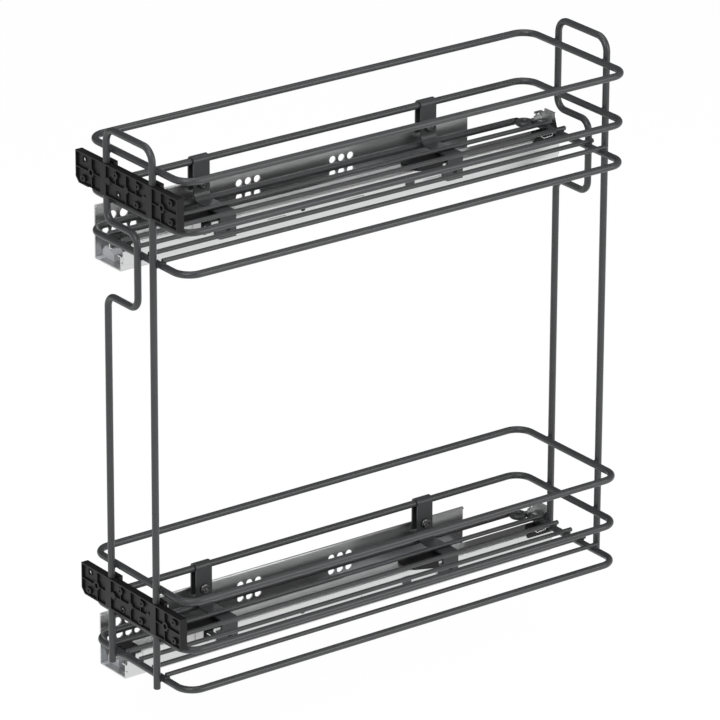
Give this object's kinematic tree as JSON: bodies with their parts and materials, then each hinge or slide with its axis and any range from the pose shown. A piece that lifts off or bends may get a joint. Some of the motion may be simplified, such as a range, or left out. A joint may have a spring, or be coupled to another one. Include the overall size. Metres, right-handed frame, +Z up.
{
  "type": "pull-out cleaning supplies rack",
  "caption": "Narrow two-tier wire pull-out rack for cleaning supplies, side-mounted on full-extension runners, with black ribbed plates for a door front.",
  "frame": {"origin": "centre of the four wall screw holes, on the cabinet wall's face", "axes": "+X from the cabinet wall into the cabinet, +Y from the front to the back, +Z up"},
  "size_m": [0.15, 0.4737, 0.5002],
  "materials": {
    "wire_paint": "satin",
    "clip_paint": "satin",
    "black_plastic": "matte",
    "screw_black": "satin",
    "zinc": "satin",
    "steel_bright": "polished",
    "grey_plastic": "matte",
    "white_plastic": "matte"
  },
  "bodies": {
    "cabinet_side": {"upper_wall_bracket": "zinc", "upper_cabinet_rail": "zinc", "upper_rail_rivets": "zinc", "upper_front_nose": "grey_plastic", "upper_damper": "grey_plastic", "upper_damper_rod": "steel_bright", "lower_wall_bracket": "zinc", "lower_cabinet_rail": "zinc", "lower_rail_rivets": "zinc", "lower_front_nose": "grey_plastic", "lower_damper": "grey_plastic", "lower_damper_rod": "steel_bright"},
    "rack": {"upper_top_ring": "wire_paint", "upper_mid_ring": "wire_paint", "upper_bottom_ring": "wire_paint", "upper_floor_wires": "wire_paint", "upper_front_plate": "black_plastic", "upper_plate_clamps": "black_plastic", "upper_front_clip": "clip_paint", "upper_rear_clip": "clip_paint", "upper_clip_screws": "screw_black", "upper_clip_saddles": "black_plastic", "upper_drawer_profile": "zinc", "upper_front_coupling": "black_plastic", "upper_rear_hook": "zinc", "upper_rear_cap": "black_plastic", "upper_eyelet": "wire_paint", "upper_latch_block": "white_plastic", "lower_top_ring": "wire_paint", "lower_mid_ring": "wire_paint", "lower_bottom_ring": "wire_paint", "lower_floor_wires": "wire_paint", "lower_front_plate": "black_plastic", "lower_plate_clamps": "black_plastic", "lower_front_clip": "clip_paint", "lower_rear_clip": "clip_paint", "lower_clip_screws": "screw_black", "lower_clip_saddles": "black_plastic", "lower_drawer_profile": "zinc", "lower_front_coupling": "black_plastic", "lower_rear_hook": "zinc", "lower_rear_cap": "black_plastic", "lower_eyelet": "wire_paint", "lower_latch_block": "white_plastic", "front_frame": "wire_paint", "rear_frame": "wire_paint"},
    "upper_middle": {"upper_middle_profile": "zinc"},
    "upper_outer_balls_run": {"upper_outer_cage": "white_plastic", "upper_outer_balls": "steel_bright"},
    "upper_inner_balls_run": {"upper_inner_cage": "white_plastic", "upper_inner_balls": "steel_bright"},
    "upper_latch": {"upper_latch_lever": "black_plastic"},
    "lower_middle": {"lower_middle_profile": "zinc"},
    "lower_outer_balls_run": {"lower_outer_cage": "white_plastic", "lower_outer_balls": "steel_bright"},
    "lower_inner_balls_run": {"lower_inner_cage": "white_plastic", "lower_inner_balls": "steel_bright"},
    "lower_latch": {"lower_latch_lever": "black_plastic"}
  },
  "joints": [
    {"name": "rack_slide", "type": "slide", "parent": "cabinet_side", "child": "rack", "axis": [0, -1, 0], "range_m": [0, 0.44]},
    {"name": "upper_middle_slide", "type": "slide", "parent": "cabinet_side", "child": "upper_middle", "axis": [0, -1, 0], "range_m": [0, 0.22]},
    {"name": "upper_outer_cage_slide", "type": "slide", "parent": "cabinet_side", "child": "upper_outer_balls_run", "axis": [0, -1, 0], "range_m": [0, 0.11]},
    {"name": "upper_inner_cage_slide", "type": "slide", "parent": "upper_middle", "child": "upper_inner_balls_run", "axis": [0, -1, 0], "range_m": [0, 0.11]},
    {"name": "upper_latch_hinge", "type": "hinge", "parent": "rack", "child": "upper_latch", "pos_m": [0.052, -0.122, 0.17295], "axis": [1, 0, 0], "range_deg": [0, 20]},
    {"name": "lower_middle_slide", "type": "slide", "parent": "cabinet_side", "child": "lower_middle", "axis": [0, -1, 0], "range_m": [0, 0.22]},
    {"name": "lower_outer_cage_slide", "type": "slide", "parent": "cabinet_side", "child": "lower_outer_balls_run", "axis": [0, -1, 0], "range_m": [0, 0.11]},
    {"name": "lower_inner_cage_slide", "type": "slide", "parent": "lower_middle", "child": "lower_inner_balls_run", "axis": [0, -1, 0], "range_m": [0, 0.11]},
    {"name": "lower_latch_hinge", "type": "hinge", "parent": "rack", "child": "lower_latch", "pos_m": [0.052, -0.122, -0.19245], "axis": [1, 0, 0], "range_deg": [0, 20]}
  ],
  "couplings": [
    {"joint": "upper_middle_slide", "follows": "rack_slide", "ratio": 0.5},
    {"joint": "upper_outer_cage_slide", "follows": "rack_slide", "ratio": 0.25},
    {"joint": "upper_inner_cage_slide", "follows": "rack_slide", "ratio": 0.25},
    {"joint": "lower_middle_slide", "follows": "rack_slide", "ratio": 0.5},
    {"joint": "lower_outer_cage_slide", "follows": "rack_slide", "ratio": 0.25},
    {"joint": "lower_inner_cage_slide", "follows": "rack_slide", "ratio": 0.25}
  ]
}
